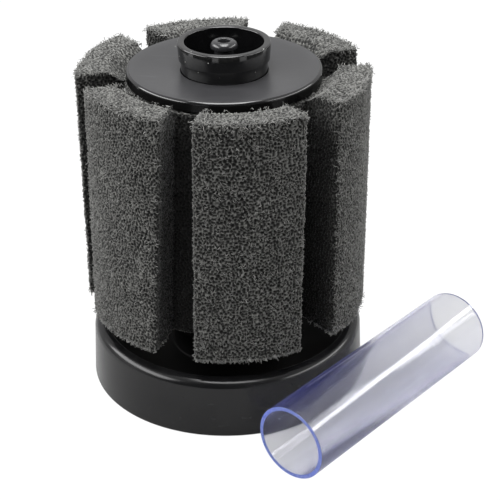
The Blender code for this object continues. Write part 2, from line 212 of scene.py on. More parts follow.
DUST = (0.42, 0.42, 0.4, 1)
DUST_SIZE = 0.16 * MM
RUB_LIGHTER = 3  # how many times lighter the plastic is where it has been rubbed
RUB_TURN = (0.5, 0.3, 0.6)
RUB_SCALE = (60, 3200, 900)


def moulded_black(name, dark, light, smooth, rough, reflect=0.5, dust_pitch=5.0 * MM):
    """Shot black plastic: slow cloudy changes of colour and gloss, an orange-peel skin, a
    fine grain, hairline rubs, and dust where a random point of a coarse cell meets the surface."""
    material, tree, shader, place = new_material(name)
    clouds = {"Vector": place, "Scale": 90, "Detail": 4, "Roughness": 0.6}
    cloud = add_node(tree, "ShaderNodeTexNoise", clouds).outputs["Fac"]
    turned_place = add_node(
        tree, "ShaderNodeMapping", {"Vector": place, "Rotation": RUB_TURN, "Scale": RUB_SCALE}
    ).outputs[0]
    rub = ramp(tree, noise(tree, turned_place, 1, 1), (0.7, 0.0), (0.8, 0.6))
    seeds = add_node(tree, "ShaderNodeTexVoronoi", {"Vector": place, "Scale": 1 / dust_pitch})
    edge = DUST_SIZE / dust_pitch
    dust = ramp(tree, seeds.outputs["Distance"], (0.6 * edge, 1.0), (edge, 0.0))
    tone = ramp(tree, cloud, (0.3, dark), (0.7, light))
    rubbed = blended(tree, rub, tone, (*[RUB_LIGHTER * part for part in light], 1))
    dusty = blended(tree, dust, rubbed, DUST)
    gloss = ramp(tree, cloud, (0.25, smooth), (0.75, rough))
    matt = add_node(tree, "ShaderNodeMath", {0: gloss, 1: dust}, operation="MAXIMUM")
    peel = relief(tree, noise(tree, place, 700, 2), 0.25, 0.03 * MM)
    grain = relief(tree, noise(tree, place, 6000, 2), 0.15, 0.01 * MM, under=peel)
    tree.links.new(dusty, shader.inputs["Base Color"])
    tree.links.new(matt.outputs[0], shader.inputs["Roughness"])
    tree.links.new(grain, shader.inputs["Normal"])
    shader.inputs["Specular IOR Level"].default_value = reflect
    return material


base_inner = BASE_RADIUS - BASE_WALL
lip_inner = BASE_RADIUS - LIP_WIDTH
base_dish = turned(
    "base_dish_shell",
    [
        (BASE_RADIUS, BASE_HEIGHT, LIP_ROUND),
        (BASE_FOOT, 0, 0.5 * MM),
        (base_inner, 0, 0.3 * MM),
        (base_inner, FLOOR_UNDER, 0.3 * MM),
        (0, FLOOR_UNDER, 0),
        (0, FLOOR_TOP, 0),
        (SOCKET_BORE, FLOOR_TOP, 0.3 * MM),
        (SOCKET_BORE, SOCKET_TOP, 0.4 * MM),
        (SOCKET_BORE + SOCKET_WALL, SOCKET_TOP, 0.5 * MM),
        (SOCKET_BORE + SOCKET_WALL, FLOOR_TOP, 0.6 * MM),
        (lip_inner - LIP_SLOPE - BASE_DRAFT, FLOOR_TOP, 3.0 * MM),
        (lip_inner - LIP_SLOPE, BASE_HEIGHT - 2 * LIP_SLOPE, 1.0 * MM),
        (lip_inner, BASE_HEIGHT, 0.4 * MM),
    ],
)
base_black = moulded_black(
    "base_black", (0.004, 0.004, 0.0045), (0.009, 0.009, 0.0095), 0.14, 0.26, reflect=0.32
)
# Painted shade: a darker, less shiny copy of the base's black, put on the faces inside the dish under the
# foam.
base_inside_painted_shade = moulded_black(
    "base_inside_painted_shade", (0.002, 0.002, 0.002), (0.004, 0.004, 0.004), 0.4, 0.6, reflect=0.08
)
base_middles = face_values(base_dish.data, "center")
base_reach = np.hypot(base_middles[:, 0], base_middles[:, 1])
above_floor = base_middles[:, 2] > (FLOOR_UNDER + FLOOR_TOP) / 2
painted_shade_in_dish = (base_reach < lip_inner - 0.6 * LIP_SLOPE) & above_floor
dress(base_dish, base_black, base_inside_painted_shade, which=painted_shade_in_dish)
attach(base_dish, "base")
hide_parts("base_dish")

# ---------------------------------------------------------------- Base cover and ballast
# The plate that closes the base from below is pressed black plastic. The cast iron ring
# between it and the dish's floor is what keeps the filter down.


def rough_iron(name):
    """Cast iron: dark grey metal with a sandy skin and spots of brown rust."""
    material, tree, shader, place = new_material(name)
    patch = noise(tree, place, 160, 4)
    colour = ramp(tree, patch, (0.45, (0.1, 0.095, 0.09)), (0.68, (0.16, 0.07, 0.03)))
    sand = relief(tree, noise(tree, place, 1500, 5), 0.6, 0.1 * MM)
    tree.links.new(colour, shader.inputs["Base Color"])
    tree.links.new(sand, shader.inputs["Normal"])
    shader.inputs["Metallic"].default_value = 0.7
    shader.inputs["Roughness"].default_value = 0.65
    return material


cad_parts["ballast_ring"].material_slots[0].material = rough_iron("ballast_iron")
cover_black = moulded_black("cover_black", (0.014, 0.014, 0.015), (0.024, 0.024, 0.025), 0.4, 0.55)
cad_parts["base_cover"].material_slots[0].material = cover_black

# ---------------------------------------------------------------- Strainer tube
# A black moulded tube with three rows of upright inlet slots. Its foot sits in the base's
# socket, its flange carries the foam, and its top takes the collar.

strainer_low, strainer_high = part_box("strainer_tube")
STRAINER_RADIUS = 12.5 * MM
STRAINER_BORE = 11.0 * MM
FLANGE_RADIUS = strainer_high.x
FLANGE_TOP = 21.7 * MM
FLANGE_BOTTOM = 20.2 * MM
INLET_COLUMNS = 8
CELLS_PER_INLET = 12
INLET_WIDE_CELLS = 2
INLET_HEIGHT = 14.0 * MM
INLET_MIDDLES = (33.0 * MM, 51.0 * MM, 69.0 * MM)
STRAINER_ROUND = 0.3 * MM  # the bevel of the flange and of the top


def windowed_shell(name, front, back, keep):
    """A closed wall between two (rows, columns, 3) grids that wrap round their columns. Each
    cell that keep allows is a quad in front and one behind, and every edge between a kept cell
    and a window, or past the first and last row, is closed by a quad from front to back."""
    rows, columns = front.shape[:2]
    index = np.arange(rows * columns).reshape(rows, columns)
    offset = rows * columns
    right = np.roll(index, -1, axis=1)
    cell = np.stack((index[:-1], right[:-1], right[1:], index[1:]), axis=-1)
    faces = [cell[keep], cell[keep][:, ::-1] + offset]
    left_open = keep & ~np.roll(keep, 1, axis=1)
    right_open = keep & ~np.roll(keep, -1, axis=1)
    low_open = keep & ~np.vstack((np.zeros_like(keep[:1]), keep[:-1]))
    high_open = keep & ~np.vstack((keep[1:], np.zeros_like(keep[:1])))
    borders = ((left_open, 3, 0), (right_open, 1, 2), (low_open, 0, 1), (high_open, 2, 3))
    for is_open, first, second in borders:
        a = cell[is_open][:, first]
        b = cell[is_open][:, second]
        faces.append(np.column_stack((b, a, a + offset, b + offset)))
    mesh = bpy.data.meshes.new(name)
    mesh.from_pydata(np.concatenate((front, back)).reshape(-1, 3), [], np.concatenate(faces))
    shape = bmesh.new()
    shape.from_mesh(mesh)
    bmesh.ops.delete(shape, geom=[vert for vert in shape.verts if not vert.link_faces], context="VERTS")
    bmesh.ops.remove_doubles(shape, verts=shape.verts, dist=1e-7)
    bmesh.ops.recalc_face_normals(shape, faces=shape.faces)
    shape.to_mesh(mesh)
    shape.free()
    mesh.shade_smooth()
    mesh.set_sharp_from_angle(angle=math.radians(30))
    return show(name, mesh)


def around(radius, height, columns):
    """A grid whose rows are circles of the given radii and heights about the Z axis."""
    angle = np.linspace(0, math.tau, columns, endpoint=False)
    radius = np.asarray(radius)[:, None]
    height = np.asarray(height)[:, None]
    return np.stack((radius * np.cos(angle), radius * np.sin(angle), height + 0 * angle), axis=-1)


flange_rows = [
    (STRAINER_RADIUS, strainer_low.z),
    (STRAINER_RADIUS, FLANGE_BOTTOM),
    (FLANGE_RADIUS - STRAINER_ROUND, FLANGE_BOTTOM),
    (FLANGE_RADIUS, FLANGE_BOTTOM + STRAINER_ROUND),
    (FLANGE_RADIUS, FLANGE_TOP - STRAINER_ROUND),
    (FLANGE_RADIUS - STRAINER_ROUND, FLANGE_TOP),
    (STRAINER_RADIUS, FLANGE_TOP),
]
inlet_rows = [
    (STRAINER_RADIUS, middle + side * INLET_HEIGHT / 2) for middle in INLET_MIDDLES for side in (-1, 1)
]
top_rows = [
    (STRAINER_RADIUS, strainer_high.z - STRAINER_ROUND),
    (STRAINER_RADIUS - STRAINER_ROUND, strainer_high.z),
]
strainer_path = np.array(flange_rows + inlet_rows + top_rows)
strainer_columns = INLET_COLUMNS * CELLS_PER_INLET
strainer_keep = np.ones((len(strainer_path) - 1, strainer_columns), bool)
inlet_cell = (np.arange(strainer_columns) - CELLS_PER_INLET // 2) % CELLS_PER_INLET < INLET_WIDE_CELLS
for row in range(len(flange_rows), len(flange_rows) + len(inlet_rows), 2):
    strainer_keep[row, inlet_cell] = False
strainer = windowed_shell(
    "strainer_tube_shell",
    around(strainer_path[:, 0], strainer_path[:, 1], strainer_columns),
    around(np.full(len(strainer_path), STRAINER_BORE), strainer_path[:, 1], strainer_columns),
    strainer_keep,
)
strainer_black = moulded_black(
    "strainer_black", (0.003, 0.003, 0.003), (0.006, 0.006, 0.006), 0.4, 0.6, reflect=0.15
)
dress(strainer, strainer_black)
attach(strainer, "strainer")
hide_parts("strainer_tube")

# ---------------------------------------------------------------- Foam block
# One block of open-cell polyurethane foam, cut to six fins round a core with a bore for
# the strainer. Its cut faces are a net of thin struts round pores whose black is painted shade,
# and the slots' walls and the core are painted darker as shade too.

foam_low, foam_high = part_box("foam_block")
FOAM_RADIUS = foam_high.x + 0.2 * MM
FOAM_BORE = 12.8 * MM
FOAM_CORE = 24.5 * MM
FOAM_SEAT = 82.3 * MM  # where the cap rests on the core
FIN_FILLET = 0.8 * MM
FIN_EDGE = 0.8 * MM  # how far the top and bottom edges are rounded
FIN_ROOT = 20 * MM  # where a fin starts, inside the core
FIN_POINTS = 120  # round its outline
SLOT_HALF = 4.8 * MM
FIRST_FIN = math.radians(9.6)  # middle of the front fin, from -Y towards +X
# Degrees by which each fin stands round from its place, at its foot and at its top, and the
# share by which it is wider than the rest.
FIN_LEANS = (
    (-1.3, 0.3, 0.0),
    (0.3, 0.0, 0.0),
    (0.8, 1.7, 0.0),
    (1.5, 2.8, 0.04),
    (-1.8, 3.2, 0.12),
    (-2.0, 4.0, 0.0),
)
FOAM_VOXEL = 0.29 * MM
PORE_PITCH = 0.86 * MM
PORE_SCATTER = 1.0  # 1 for seeds anywhere in their cubes, 0 for all in the middle
# How the cubes of seeds lie, askew to the block.
PORE_GRAIN = np.array(Matrix.Rotation(0.61, 3, "X") @ Matrix.Rotation(0.87, 3, "Z"))
PORE_DEPTH = 0.48 * MM
STRUT_RISE = 0.1 * MM
STRUT_SPREAD = 0.5  # in pitches, how far a strut's flanks reach
STRUT_SHARE = 0.7  # what the line between two seeds gives of a full strut
KNOT_SHARE = 0.5  # what the meeting of three adds
MEAN_DISTANCE = 0.4  # of a vertex from its nearest seed, in pitches
UNEVEN_SCALE = 2.2 * MM
UNEVEN_DEPTH = 0.1 * MM
SAG_SCALE = 9.0 * MM
SAG_DEPTH = 0.25 * MM
DIP_WIDTH = 5.0 * MM  # how far out from the core the top comes back up
BORE_SKIN = 1.0 * MM  # the layer round the bore where nothing stands proud
WALL_SHADE = 0.68  # painted shade: the share of strut that the slots' walls lose
DEEP_SHADE = 0.72  # and the painted shade's share that goes towards the core
DEEP_REACH = 9 * MM
MOUTH_RELIEF = 0.6  # how much of the painted shade the slots' mouths are spared
MOUTH_DEPTH = 4.5 * MM
MOUTH_FADE = 3.5 * MM
TOP_RELIEF = 0.6  # and how much the top is, where light falls in from above
TOP_FROM = 70 * MM
TOP_FADE = 12 * MM


def fin_block(middle, leans):
    """One fin as a closed loft. Its plan is the space between two parallel-sided slots, out to
    the foam's circle, with rounded corners. The plan goes up from foot to top, is drawn in
    along its own normals by a quarter round at both ends, widened across, and turned a little
    with height."""
    side = np.exp(1j * math.pi / 6)
    reach = np.array([FIN_ROOT, math.sqrt(FOAM_RADIUS**2 - SLOT_HALF**2)])
    wall = reach * side - 1j * SLOT_HALF * side
    spread = np.angle(wall[1])
    arc = FOAM_RADIUS * np.exp(1j * np.linspace(-spread, spread, 9)[1:-1])
    plan = np.concatenate((wall[:1].conj(), wall[1:].conj(), arc, wall[1:], wall[:1]))
    fillets = np.zeros(len(plan))
    fillets[[1, -2]] = FIN_FILLET
    outline = rounded_path(np.column_stack((plan.real, plan.imag, fillets))) @ (1, 1j)
    length = np.concatenate(([0], np.cumsum(np.abs(np.diff(np.append(outline, outline[0]))))))
    even = np.linspace(0, length[-1], FIN_POINTS, endpoint=False)
    closed_line = np.append(outline, outline[0])
    outline = np.interp(even, length, closed_line.real) + 1j * np.interp(even, length, closed_line.imag)
    along = np.roll(outline, -1) - np.roll(outline, 1)
    outward = -1j * along / np.abs(along)
    quarter = np.linspace(0, math.pi / 2, 7)
    rise = FIN_EDGE * (1 - np.cos(quarter))
    inset = FIN_EDGE * (1 - np.sin(quarter))
    heights = np.concatenate((foam_low.z + rise, (foam_high.z - rise)[::-1]))
    insets = np.concatenate((inset, inset[::-1]))
    share = (heights - foam_low.z) / (foam_high.z - foam_low.z)
    turn = middle - math.pi / 2 + np.radians(leans[0] + (leans[1] - leans[0]) * share)
    rings = outline - insets[:, None] * outward
    rings = (rings.real + 1j * (1 + leans[2]) * rings.imag) * np.exp(1j * turn[:, None])
    points = np.stack((rings.real, rings.imag, np.tile(heights[:, None], len(outline))), axis=-1)
    rows, columns = rings.shape
    index = np.arange(rows * columns).reshape(rows, columns)
    right = np.roll(index, -1, axis=1)
    quads = np.stack((index[:-1], right[:-1], right[1:], index[1:]), axis=-1).reshape(-1, 4)
    return points.reshape(-1, 3), [*quads.tolist(), index[0, ::-1].tolist(), index[-1].tolist()]


def random_places(cells):
    """A repeatable random place in a unit cube for each row of whole numbers, by mixing its bits."""
    key = cells @ np.array([73856093, 19349663, 83492791])
    mixed = []
    for salt in (11, 5077, 90001):
        bits = (key + salt) * 2654435761 & 0xFFFFFFFF
        bits = (bits ^ bits >> 15) * 2246822519 & 0xFFFFFFFF
        bits = (bits ^ bits >> 13) * 3266489917 & 0xFFFFFFFF
        mixed.append((bits ^ bits >> 16) / 2**32)
    return np.stack(mixed, axis=-1)


def cell_key(cells):
    """One whole number for each cube of space, from its three whole coordinates."""
    return ((cells + 1024) << np.array([22, 11, 0])).sum(axis=1)


def surface_seeds(places, pitch):
    """Seeds for pores, spread over the surface itself: in each cube of the pitch that holds
    enough of the surface, the vertex nearest to a random place about their middle."""
    cells = np.floor(places / pitch).astype(np.int64)
    keys, first, home, count = np.unique(
        cell_key(cells), return_index=True, return_inverse=True, return_counts=True
    )
    sums = [np.bincount(home, places[:, axis]) for axis in range(3)]
    wanted = np.stack(sums, axis=-1) / count[:, None]
    wanted += PORE_SCATTER * pitch * (random_places(cells[first]) - 0.5)
    order = np.lexsort((np.linalg.norm(places - wanted[home], axis=1), home))
    chosen = order[np.searchsorted(home[order], np.arange(len(keys)))]
    full = count > 0.3 * np.median(count)
    return keys[full], places[chosen[full]]


def pore_distances(places, pitch):
    """Cellular noise on a surface: the distance from each vertex to its three nearest seeds,
    in pitches, looked up in its own cube and the 26 round it. The cubes lie askew to the
    block, so no row of pores follows its faces."""
    places = places @ PORE_GRAIN
    keys, seeds = surface_seeds(places, pitch)
    home = np.floor(places / pitch).astype(np.int64)
    nearest = np.full((len(places), 3), 9.0)
    for step in itertools.product((-1, 0, 1), repeat=3):
        wanted = cell_key(home + step)
        slot = np.minimum(np.searchsorted(keys, wanted), len(keys) - 1)
        distance = np.linalg.norm(places - seeds[slot], axis=1) / pitch
        distance = np.where(keys[slot] == wanted, distance, 9.0)
        nearest = np.sort(np.column_stack((nearest, distance)), axis=1)[:, :3]
    return nearest


def smooth_step(value):
    """From 0 to 1 without a corner: three times the square less twice the cube."""
    value = np.clip(value, 0, 1)
    return value * value * (3 - 2 * value)


def foam_body():
    """The fins and the core as one closed skin of even small quads, from a voxel remesh."""
    points = []
    faces = []
    count = 0
    core = turned(
        "foam_core_guide",
        [
            (FOAM_CORE, FOAM_SEAT, 0.6 * MM),
            (FOAM_CORE, foam_low.z, 0.6 * MM),
            (FOAM_BORE, foam_low.z, 0.5 * MM),
            (FOAM_BORE, FOAM_SEAT, 0.5 * MM),
        ],
    )
    blocks = [fin_block(FIRST_FIN + k * math.pi / 3, leans) for k, leans in enumerate(FIN_LEANS)]
    core_points = np.array([vert.co for vert in core.data.vertices])
    blocks.append((core_points, [list(face.vertices) for face in core.data.polygons]))
    bpy.data.objects.remove(core, do_unlink=True)
    for block_points, block_faces in blocks:
        points.append(block_points)
        faces += [[vertex + count for vertex in face] for face in block_faces]
        count += len(block_points)
    mesh = bpy.data.meshes.new("foam_cage")
    mesh.from_pydata(np.concatenate(points), [], faces)
    cage = show("foam_cage", mesh)
    remesh = cage.modifiers.new("Even quads", "REMESH")
    remesh.mode = "VOXEL"
    remesh.voxel_size = FOAM_VOXEL
    graph = bpy.context.evaluated_depsgraph_get()
    skin = bpy.data.meshes.new_from_object(cage.evaluated_get(graph))
    bpy.data.objects.remove(cage, do_unlink=True)
    skin.name = "foam_block_pores"
    return skin


def vertex_arrays(mesh):
    """The places and the normals of a mesh's vertices, as two (n, 3) arrays."""
    places = np.empty(len(mesh.vertices) * 3, np.float32)
    normals = np.empty(len(mesh.vertices) * 3, np.float32)
    mesh.vertices.foreach_get("co", places)
    mesh.vertex_normals.foreach_get("vector", normals)
    return places.reshape(-1, 3).astype(float), normals.reshape(-1, 3).astype(float)


def open_cells(mesh):
    """Moves each vertex along its normal: out on a strut, where two seeds are nearly as near,
    further out on a knot of three, and deep into the pore between. The share of strut, which
    is darkened by painted shade on the slots' walls and towards the core, is kept in the mesh as the
    attribute strut."""
    places, normals = vertex_arrays(mesh)
    near = pore_distances(places, PORE_PITCH)
    edge = 1 - smooth_step((near[:, 1] - near[:, 0]) / STRUT_SPREAD)
    knot = 1 - smooth_step((near[:, 2] - near[:, 0]) / STRUT_SPREAD)
    strut = np.clip(STRUT_SHARE * edge + KNOT_SHARE * knot, 0, 1)
    sag = pore_distances(places, SAG_SCALE)[:, 0] - MEAN_DISTANCE
    uneven = pore_distances(places, UNEVEN_SCALE)[:, 0] - MEAN_DISTANCE
    out = STRUT_RISE - (PORE_DEPTH + STRUT_RISE) * (1 - strut) + UNEVEN_DEPTH * uneven - SAG_DEPTH * sag
    radius = np.hypot(places[:, 0], places[:, 1])
    out = np.where(radius < FOAM_BORE + BORE_SKIN, np.minimum(out, 0), out)
    dip = 1 - smooth_step((radius - FOAM_CORE) / DIP_WIDTH)
    lowered = dip * np.maximum(places[:, 2] - FOAM_SEAT, 0)
    places += normals * out[:, None]
    places[:, 2] -= lowered
    mesh.vertices.foreach_set("co", places.astype(np.float32).ravel())
    # Painted shade: the share of strut is cut on the slots' walls and towards the core, less at the slots'
    # mouths and near the top, where light gets in.
    outward = (places[:, 0] * normals[:, 0] + places[:, 1] * normals[:, 1]) / radius
    upright = 1 - smooth_step((np.abs(normals[:, 2]) - 0.4) / 0.4)
    wall = upright * (1 - smooth_step((outward - 0.25) / 0.45))
    wall *= 1 - MOUTH_RELIEF * smooth_step((radius - FOAM_RADIUS + MOUTH_DEPTH) / MOUTH_FADE)
    deep = upright * (1 - smooth_step((radius - FOAM_CORE) / DEEP_REACH))
    covered = 1 - TOP_RELIEF * smooth_step((places[:, 2] - TOP_FROM) / TOP_FADE)
    strut *= (1 - WALL_SHADE * covered * wall) * (1 - DEEP_SHADE * covered * deep)
    kept = mesh.attributes.new("strut", "FLOAT", "POINT")
    kept.data.foreach_set("value", strut.astype(np.float32))
    mesh.update()
    mesh.shade_smooth()


FINE_NET = 0.55 * MM  # the mesh of the thinnest struts, finer than the pores


def foam_material(name):
    """Reticulated foam: the strut attribute runs from black pore to grey strut, broken up by
    a finer cellular pattern and by slow changes of tone. The pores' black, and the darkening
    of the slots' walls and core that the attribute carries, are painted shade. It has no shine but a little
    sheen."""
    material, tree, shader, place = new_material(name)
    strut = add_node(tree, "ShaderNodeAttribute", attribute_name="strut").outputs["Fac"]
    net = {"Vector": place, "Scale": 1 / FINE_NET}
    fine = add_node(tree, "ShaderNodeTexVoronoi", net, feature="DISTANCE_TO_EDGE").outputs["Distance"]
    # The near-black end of this ramp is painted shade in the pores and the shaded slots.
    tone = ramp(
        tree,
        strut,
        (0.0, (0.004, 0.004, 0.004)),
        (0.45, (0.026, 0.026, 0.0245)),
        (1.0, (0.165, 0.165, 0.156)),
    )
    hair = ramp(tree, fine, (0.0, 1.0), (0.2, 0.8))
    slow = ramp(tree, noise(tree, place, 120, 3), (0.3, 0.93), (0.7, 1.07))
    speckle = ramp(tree, noise(tree, place, 2500, 2), (0.35, 0.82), (0.65, 1.18))
    for factor in (hair, slow, speckle):
        tone = blended(tree, 1.0, tone, factor, blend="MULTIPLY")
    tree.links.new(tone, shader.inputs["Base Color"])
    tree.links.new(relief(tree, fine, 0.6, 0.12 * MM, invert=True), shader.inputs["Normal"])
    shader.inputs["Roughness"].default_value = 0.85
    shader.inputs["Specular IOR Level"].default_value = 0.2
    shader.inputs["Sheen Weight"].default_value = 0.15
    shader.inputs["Sheen Roughness"].default_value = 0.5
    return material


foam_skin = foam_body()
cut_places, cut_normals = vertex_arrays(foam_skin)
open_cells(foam_skin)
foam = show("foam_block_pores", foam_skin)
foam_grey = foam_material("foam_grey")
dress(foam, foam_grey)
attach(foam, "foam")
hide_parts("foam_block")

# ---------------------------------------------------------------- Foam strands
# Where the foam was cut, single struts stand off its faces: some arch over a pore from
# knot to knot and some end free. They are the same polyurethane as the block.

STRAND_COUNT = 12000
STRAND_RADIUS = 0.075 * MM
STRAND_ROOT = 0.25 * MM  # how deep it starts in the block
STRAND_REACH = (0.5 * MM, 1.0 * MM)
STRAND_LIFT = (0.08 * MM, 0.24 * MM)
FREE_SHARE = 0.22
RIM_REACH = 1.35  # how many times longer, and below higher, the strands on level rims are
RIM_LIFT = 2.4
LEVEL_RIM_WEIGHT = 7.0
UPRIGHT_RIM_WEIGHT = 2.0
TUBE_ANGLE = math.radians(48.1)  # how the lift tube lies beside the filter, from +X
TUBE_CLEARANCE = 0.25 * MM


def strand_mesh(places, normals):
    """Each strand is a three-sided tube through three points: a foot in the block, a middle
    raised along the normal, and an end that either comes down again or stands free. The
    fins' rounded edges carry more of them, and longer ones at the top and bottom. None
    reaches over the line that the lift tube is picked up along."""
    random = np.random.default_rng(7)
    radius = np.hypot(places[:, 0], places[:, 1])
    outward = (places[:, 0] * normals[:, 0] + places[:, 1] * normals[:, 1]) / radius
    level = (np.abs(normals[:, 2]) > 0.4) & (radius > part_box("top_cap")[1].x + 2 * MM)
    usable = (radius > FOAM_CORE + 3 * MM) & ((outward > 0.2) | level)
    level_rim = (np.abs(normals[:, 2]) > 0.2) & (np.abs(normals[:, 2]) < 0.97)
    upright_rim = (radius > FOAM_RADIUS - 3 * MM) & (outward > 0.2) & (outward < 0.93)
    weight = np.where(upright_rim, UPRIGHT_RIM_WEIGHT, 1.0)
    weight = np.where(level_rim, LEVEL_RIM_WEIGHT, weight) * usable
    chosen = random.choice(len(places), STRAND_COUNT, replace=False, p=weight / weight.sum())
    foot = places[chosen]
    normal = normals[chosen]
    longer = level_rim[chosen, None]
    across = np.cross(normal, random.normal(size=foot.shape))
    across /= np.linalg.norm(across, axis=1)[:, None]
    reach = random.uniform(*STRAND_REACH, (len(foot), 1)) * np.where(longer, RIM_REACH, 1)
    lift = random.uniform(*STRAND_LIFT, (len(foot), 1)) * np.where(longer, RIM_LIFT, 1)
    free = random.random((len(foot), 1)) < FREE_SHARE
    start = foot - STRAND_ROOT * normal
    middle = foot + across * reach / 2 + normal * lift
    end_rise = np.where(free, 1.5 * lift, -STRAND_ROOT)
    end = foot + across * reach * np.where(free, 0.8, 1) + normal * end_rise
    line = np.stack((start, middle, end), axis=1)
    tube_low, tube_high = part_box("lift_tube")
    to_tube = np.array([math.sin(TUBE_ANGLE), -math.cos(TUBE_ANGLE), 0])
    clear = np.array((tube_low + tube_high) / 2) @ to_tube - tube_high.z / 2 - TUBE_CLEARANCE
    line -= np.maximum(line @ to_tube - clear, 0)[..., None] * to_tube
    beside = np.cross(normal, across)
    thick = STRAND_RADIUS * random.uniform(0.7, 1.3, (len(foot), 1, 1, 1))
    angle = math.tau * np.arange(3) / 3
    ring = np.cos(angle)[:, None] * beside[:, None, None] + np.sin(angle)[:, None] * normal[:, None, None]
    points = line[:, :, None] + thick * ring
    index = np.arange(points.size // 3).reshape(len(foot), 3, 3)
    right = np.roll(index, -1, axis=2)
    sides = np.stack((index[:, :-1], right[:, :-1], right[:, 1:], index[:, 1:]), axis=-1).reshape(-1, 4)
    ends = np.concatenate((index[:, 0, ::-1], index[:, 2]))
    mesh = bpy.data.meshes.new("foam_strands")
    mesh.from_pydata(points.reshape(-1, 3), [], sides.tolist() + ends.tolist())
    shape = bmesh.new()
    shape.from_mesh(mesh)
    bmesh.ops.recalc_face_normals(shape, faces=shape.faces)
    shape.to_mesh(mesh)
    shape.free()
    return mesh


def strand_material(name):
    """The grey of a strut seen by itself, which changes along the strands."""
    material, tree, shader, place = new_material(name)
    tone = ramp(tree, noise(tree, place, 900, 2), (0.3, (0.1, 0.1, 0.096)), (0.7, (0.24, 0.24, 0.23)))
    tree.links.new(tone, shader.inputs["Base Color"])
    shader.inputs["Roughness"].default_value = 0.6
    return material


strands = show("foam_strands", strand_mesh(cut_places, cut_normals))
dress(strands, strand_material("foam_strand_grey"))
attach(strands, "foam")

# ---------------------------------------------------------------- Top cap
# A black disc moulding, pressed into the foam. It has a rounded edge, a short skirt, a
# slightly dished top and a rib below that fits over the strainer tube.

cap_low, cap_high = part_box("top_cap")
CAP_RADIUS = cap_high.x
CAP_TOP = cap_high.z
CAP_BOTTOM = 82.7 * MM
CAP_DISH = 0.9 * MM
CAP_HOLE = 10.76 * MM
CAP_WEB = 1.6 * MM
CAP_SKIRT = 1.3 * MM
CAP_RIB = 12.8 * MM
CAP_RIB_WALL = 1.2 * MM
CAP_SEAT = 82.4 * MM  # where the rib's step rests on the strainer
CAP_EDGE = 0.8 * MM  # how wide the polished edge is
CAP_EDGE_DROP = 0.65 * MM

cap = turned(
    "top_cap_disc",
    [
        (CAP_RADIUS, CAP_TOP, 0.7 * MM),
        (CAP_RADIUS, CAP_BOTTOM, 0.25 * MM),
        (CAP_RADIUS - CAP_SKIRT, CAP_BOTTOM, 0.2 * MM),
        (CAP_RADIUS - CAP_SKIRT, CAP_TOP - CAP_WEB - CAP_DISH / 2, 0.3 * MM),
        (CAP_RIB + CAP_RIB_WALL, CAP_TOP - CAP_WEB - CAP_DISH, 0.3 * MM),
        (CAP_RIB + CAP_RIB_WALL, cap_low.z, 0.2 * MM),
        (CAP_RIB, cap_low.z, 0.2 * MM),
        (CAP_RIB, CAP_SEAT, 0),
        (CAP_HOLE, CAP_SEAT, 0),
        (CAP_HOLE, CAP_TOP - CAP_DISH, 0.25 * MM),
        (CAP_RADIUS - 3 * MM, CAP_TOP - CAP_DISH / 5, 8 * MM),
    ],
)
cap_black = moulded_black(
    "cap_black", (0.022, 0.022, 0.0235), (0.03, 0.03, 0.032), 0.27, 0.36, reflect=0.42
)
cap_edge = moulded_black(
    "cap_edge", (0.004, 0.004, 0.0045), (0.008, 0.008, 0.0085), 0.06, 0.12, reflect=0.6
)
# Painted shade: a darker, less shiny copy of the cap's black on the skirt below the edge.
cap_skirt_painted_shade = moulded_black(
    "cap_skirt_painted_shade", (0.002, 0.002, 0.002), (0.004, 0.004, 0.004), 0.2, 0.35, reflect=0.12
)
cap_middles = face_values(cap.data, "center")
on_edge = np.hypot(cap_middles[:, 0], cap_middles[:, 1]) > CAP_RADIUS - CAP_EDGE
shaded_skirt_faces = on_edge & (cap_middles[:, 2] < CAP_TOP - CAP_EDGE_DROP)
dress(cap, cap_black, cap_edge, cap_skirt_painted_shade, which=on_edge.astype(int) + shaded_skirt_faces)
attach(cap, "cap")
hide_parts("top_cap")

# ---------------------------------------------------------------- Outlet collar
# The socket of the lift tube: a glossy black moulding with a rounded rim. Its head tapers
# down to a shoulder, and its shank goes on through the cap into the strainer.

collar_low, collar_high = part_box("outlet_collar")
COLLAR_RADIUS = collar_high.x
COLLAR_BORE = 9.75 * MM
SHOULDER = 87.5 * MM
SHOULDER_RADIUS = 11.25 * MM
SHANK_RADIUS = 10.7 * MM
LEDGE_BORE = 8.3 * MM
LEDGE_TOP = collar_low.z + 2.0 * MM

collar = turned(
    "outlet_collar_ring",
    [
        (COLLAR_RADIUS, collar_high.z, 0.32 * MM),
        (SHOULDER_RADIUS, SHOULDER, 0.25 * MM),
        (SHANK_RADIUS + 0.15 * MM, SHOULDER - 0.1 * MM, 0.08 * MM),
        (SHANK_RADIUS, SHOULDER - 1.2 * MM, 0),
        (SHANK_RADIUS, collar_low.z, 0.5 * MM),
        (LEDGE_BORE, collar_low.z, 0.2 * MM),
        (LEDGE_BORE, LEDGE_TOP, 0.2 * MM),
        (COLLAR_BORE, LEDGE_TOP, 0.2 * MM),
        (COLLAR_BORE, collar_high.z, 0.3 * MM),
    ],
)
collar_black = moulded_black(
    "collar_black",
    (0.002, 0.002, 0.0022),
    (0.005, 0.005, 0.0055),
    0.07,
    0.16,
    reflect=0.75,
    dust_pitch=2.4 * MM,
)
dress(collar, collar_black)
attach(collar, "collar")
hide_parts("outlet_collar")

# ---------------------------------------------------------------- Airline nozzle
# The barb that the airline pushes onto, moulded in one with a ring and three arms that
# hold it in the middle of the collar. Water rises between the arms.

